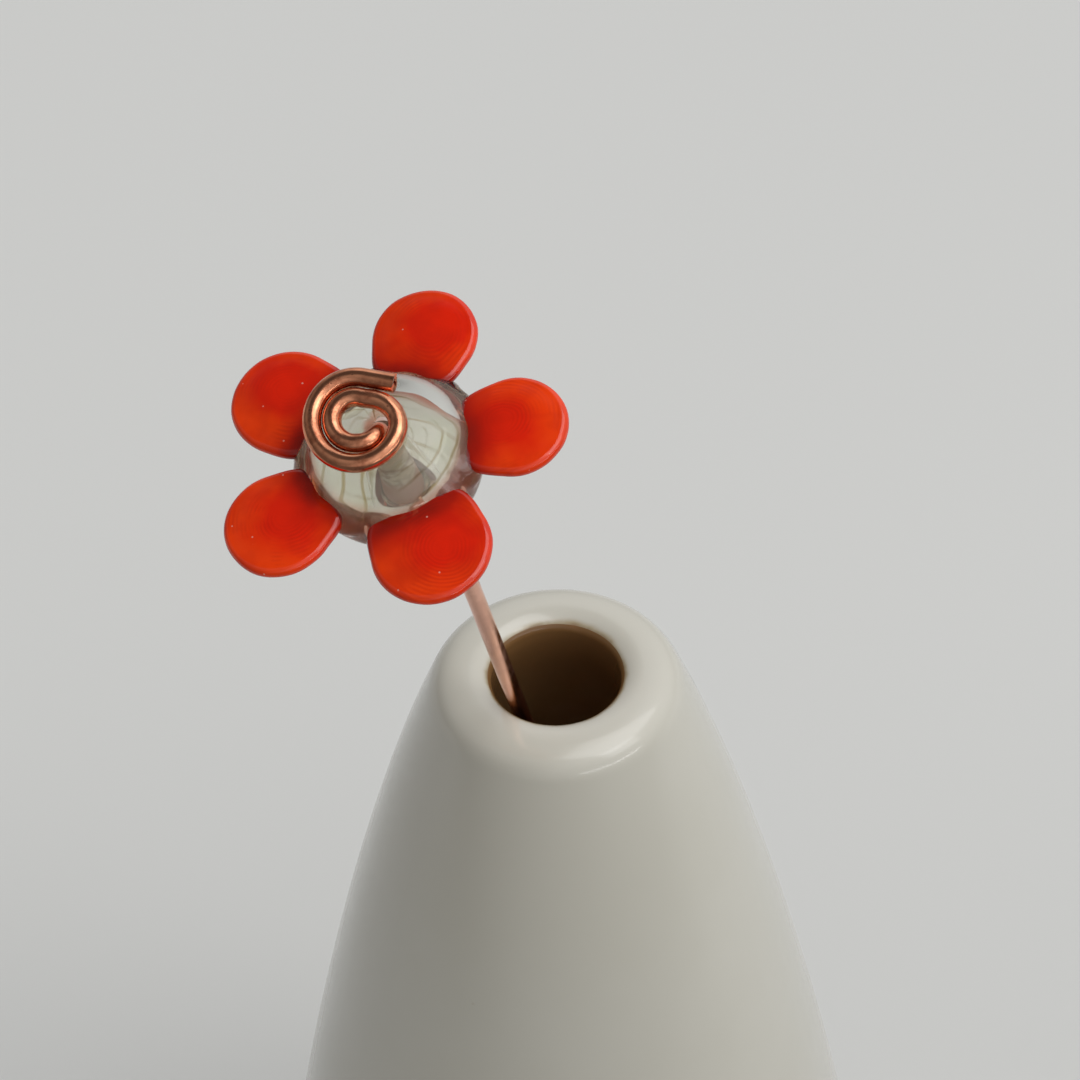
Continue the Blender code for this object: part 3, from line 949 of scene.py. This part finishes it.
def makeWire():
    w = wireShape
    route = wireRoute(w)
    # worked on in the frame of its cut end: the wire comes along +X and is cut at the origin
    tailWay = (route[-1] - route[-2]).normalized()
    coilUp = coilFrame().to_3x3() @ Vector((0, 0, 1))
    sideways = coilUp.cross(tailWay).normalized()
    endFrame = Matrix.Translation(route[-1]) @ Matrix((tailWay, sideways, coilUp)).transposed().to_4x4()
    back = endFrame.inverted()
    deselectAll()
    bpy.ops.curve.primitive_nurbs_path_add(radius=mm)
    guide = bpy.context.object
    spline = guide.data.splines[0]
    spline.type = "POLY"
    spline.points.add(len(route) - len(spline.points))
    for point, place in zip(spline.points, route):
        point.co = (*(back @ place), 1)
    guide.data.bevel_depth = w["radius"]
    guide.data.bevel_resolution = w["sideSteps"]
    guide.data.use_fill_caps = True
    bpy.ops.object.convert(target="MESH")
    wire = named("copperWire")
    bpy.ops.object.mode_set(mode="EDIT")
    bpy.ops.mesh.select_all(action="SELECT")
    bpy.ops.mesh.remove_doubles(threshold=tiny)
    bpy.ops.object.mode_set(mode="OBJECT")
    pickVerts(wire, lambda co: abs(co.x) < tiny and co.length < w["radius"] * 1.1)
    bpy.ops.transform.resize(value=(1, 1, w["endSpread"]), orient_type="GLOBAL", center_override=(0, 0, 0))
    pickFaces(wire, lambda middle, normal: normal.x > 0.9 and middle.length < w["radius"])
    bpy.ops.mesh.inset(thickness=w["notchEdge"])
    bpy.ops.transform.resize(value=(1, w["notchWidth"], 1), orient_type="GLOBAL",
                             center_override=(0, w["notchSide"], 0))
    bpy.ops.mesh.extrude_region_move(TRANSFORM_OT_translate={"value": (-w["notchDepth"], 0, 0)})
    for spot, push in w["bites"]:
        pickVerts(wire, lambda co: abs(co.x) < tiny and abs(co.z - spot) < w["biteSize"])
        bpy.ops.transform.translate(value=(push, 0, 0))
    bpy.ops.object.mode_set(mode="OBJECT")
    wire.data.materials.append(makeCopper(copperLook))
    smooth(wire, 40)
    putIn(wire, endFrame)
    dress(wire, "copper", "copper_stem")
    print("wire made:", len(wire.data.polygons), "faces")


roomLook = {
    "floor": (0.40, 0.40, 0.39),
    "floorSeen": (0.740, 0.740, 0.723),  # how pale it looks to the camera, and in metal and glass
    "seen": (0.585, 0.585, 0.570),  # what shows beyond the floor's edge, straight on or through glass
    "floorSize": 8.0,
    "floorGrain": 0.985,
    "shadeFrom": (0 * mm, 110 * mm),  # the floor is a little darker from here forwards
    "shade": 0.90,
    "frontFrom": (-160 * mm, 0 * mm),  # the room is dim in front of the vase, as gloss and metal show
    "front": 0.25,
    "ceiling": (0.95, 0.96, 0.97),
    "overhead": (0.08, 0.08, 0.08),  # what gloss and metal show straight over the flower
    "overheadWay": (-0.29, 0.24, 0.93),
    "overheadEdge": (0.80, 0.97),
    "horizon": (0.33, 0.33, 0.325),
    "below": (0.30, 0.30, 0.29),
    "shadeLow": (0.145, 0.143, 0.138),  # the dim side of the room, darkest low down
    "shadeHigh": (0.34, 0.338, 0.331),
    "shadeWay": (-0.816, -0.071, 0.574),
    "shadeEdge": (0.25, 0.7),
    "shadeRise": (0.1, 0.95),
}

lamps = (
    # turned from the front (-Y) towards +X, raised above the horizon, both in degrees
    {"name": "window", "turned": 60, "raised": 42, "away": 1.6, "size": (0.78, 0.72), "power": 2.2},
    {"name": "windowSill", "turned": 42, "raised": 10, "away": 1.6, "size": (1.6, 0.08), "power": 1.7},
    {"name": "skylight", "turned": 85, "raised": 67, "away": 2.0, "size": (1.9, 1.4), "power": 11.2},
)

cameraSet = {
    "focal": 153.33,
    "sensor": 36,
    "pitch": math.radians(46),
    "roll": math.radians(-2.1),
    "away": 333 * mm,
    "aimRight": -1.158 * mm,  # from the middle of the mouth
    "aimUp": 9.70 * mm,
}


def makeFloor():
    deselectAll()
    bpy.ops.mesh.primitive_plane_add(size=roomLook["floorSize"], location=(0, 0, 0))
    floor = named("floor")
    material, tree, shader = newMaterial("paleFloor")
    place = objectPlace(tree)
    grain = useGroup(tree, cloudyChange, Place=place, Scale=3.0, Low=0.0, High=1.0)
    path = tree.nodes.new("ShaderNodeLightPath").outputs
    mirrored = calc(tree, "MAXIMUM", path["Is Glossy Ray"], path["Is Transmission Ray"])
    seen = calc(tree, "MAXIMUM", path["Is Camera Ray"], mirrored)
    pale = [roomLook["floor"], roomLook["floorSeen"]]
    dusky = [tuple(c * roomLook["floorGrain"] for c in colour) for colour in pale]
    colour = mixColours(tree, grain, mixColours(tree, seen, *pale), mixColours(tree, seen, *dusky))
    back = axesOf(tree, place)[1]
    shade = remap(tree, back, *roomLook["shadeFrom"], roomLook["shade"], 1)
    front = calc(tree, "MAXIMUM", calc(tree, "SUBTRACT", 1.0, path["Is Glossy Ray"]),
                 remap(tree, back, *roomLook["frontFrom"], roomLook["front"], 1))
    light = calc(tree, "MULTIPLY", shade, front)
    tree.links.new(mixColours(tree, light, (0, 0, 0), colour), shader.inputs["Base Color"])
    shader.inputs["Roughness"].default_value = 0.9
    shader.inputs["Specular IOR Level"].default_value = 0.1
    floor.data.materials.append(material)


def makeWorld():
    world = bpy.data.worlds.new("softRoom")
    bpy.context.scene.world = world
    world.use_nodes = True
    tree = world.node_tree
    background = tree.nodes["Background"]
    way = tree.nodes.new("ShaderNodeTexCoord").outputs["Generated"]
    height = axesOf(tree, way)[2]
    sky = ramp(tree, remap(tree, height, -1.0, 1.0, 0, 1),
               [(0.0, roomLook["below"]), (0.5, roomLook["horizon"]), (1.0, roomLook["ceiling"])])
    dim = remap(tree, likeness(tree, way, roomLook["shadeWay"]), *roomLook["shadeEdge"], 0, 1)
    rise = remap(tree, height, *roomLook["shadeRise"], 0, 1)
    sky = mixColours(tree, dim, sky, mixColours(tree, rise, roomLook["shadeLow"], roomLook["shadeHigh"]))
    path = tree.nodes.new("ShaderNodeLightPath").outputs
    over = remap(tree, likeness(tree, way, roomLook["overheadWay"]), *roomLook["overheadEdge"], 0, 1)
    mirrored = mixColours(tree, over, sky, roomLook["overhead"])
    sky = mixColours(tree, path["Is Glossy Ray"], sky, mirrored)
    seen = calc(tree, "MAXIMUM", path["Is Camera Ray"], path["Is Transmission Ray"])
    tree.links.new(mixColours(tree, seen, sky, roomLook["seen"]), background.inputs[0])
    background.inputs[1].default_value = 1.0


def makeLamps():
    target = mouthMiddle + Vector((0, 0, 20 * mm))
    for lamp in lamps:
        turned, raised = math.radians(lamp["turned"]), math.radians(lamp["raised"])
        flat = math.cos(raised)
        way = Vector((math.sin(turned) * flat, -math.cos(turned) * flat, math.sin(raised)))
        deselectAll()
        bpy.ops.object.light_add(type="AREA", location=target + way * lamp["away"])
        light = named(lamp["name"])
        light.rotation_euler = (-way).to_track_quat("-Z", "Y").to_euler()
        light.data.shape = "RECTANGLE"
        light.data.size, light.data.size_y = lamp["size"]
        light.data.energy = lamp["power"]


def makeCamera():
    c = cameraSet
    forward = Vector((0, math.cos(c["pitch"]), -math.sin(c["pitch"])))
    up = Vector((0, math.sin(c["pitch"]), math.cos(c["pitch"])))
    right = Vector((1, 0, 0))
    side = right * math.cos(c["roll"]) + up * math.sin(c["roll"])
    top = up * math.cos(c["roll"]) - right * math.sin(c["roll"])
    aim = mouthMiddle + side * c["aimRight"] + top * c["aimUp"]
    turn = Matrix((side, top, -forward)).transposed()
    deselectAll()
    bpy.ops.object.camera_add(location=aim - forward * c["away"], rotation=turn.to_euler())
    camera = named("camera")
    camera.data.lens = c["focal"]
    camera.data.sensor_width = c["sensor"]
    camera.data.clip_start = 0.01
    bpy.context.scene.camera = camera


makeCamera()
makeWorld()
makeLamps()
makeFloor()
print("room made")
makeVase()
makeBead()
makePetals()
makeWire()
bpy.context.scene.view_settings.view_transform = "Standard"

deselectAll()
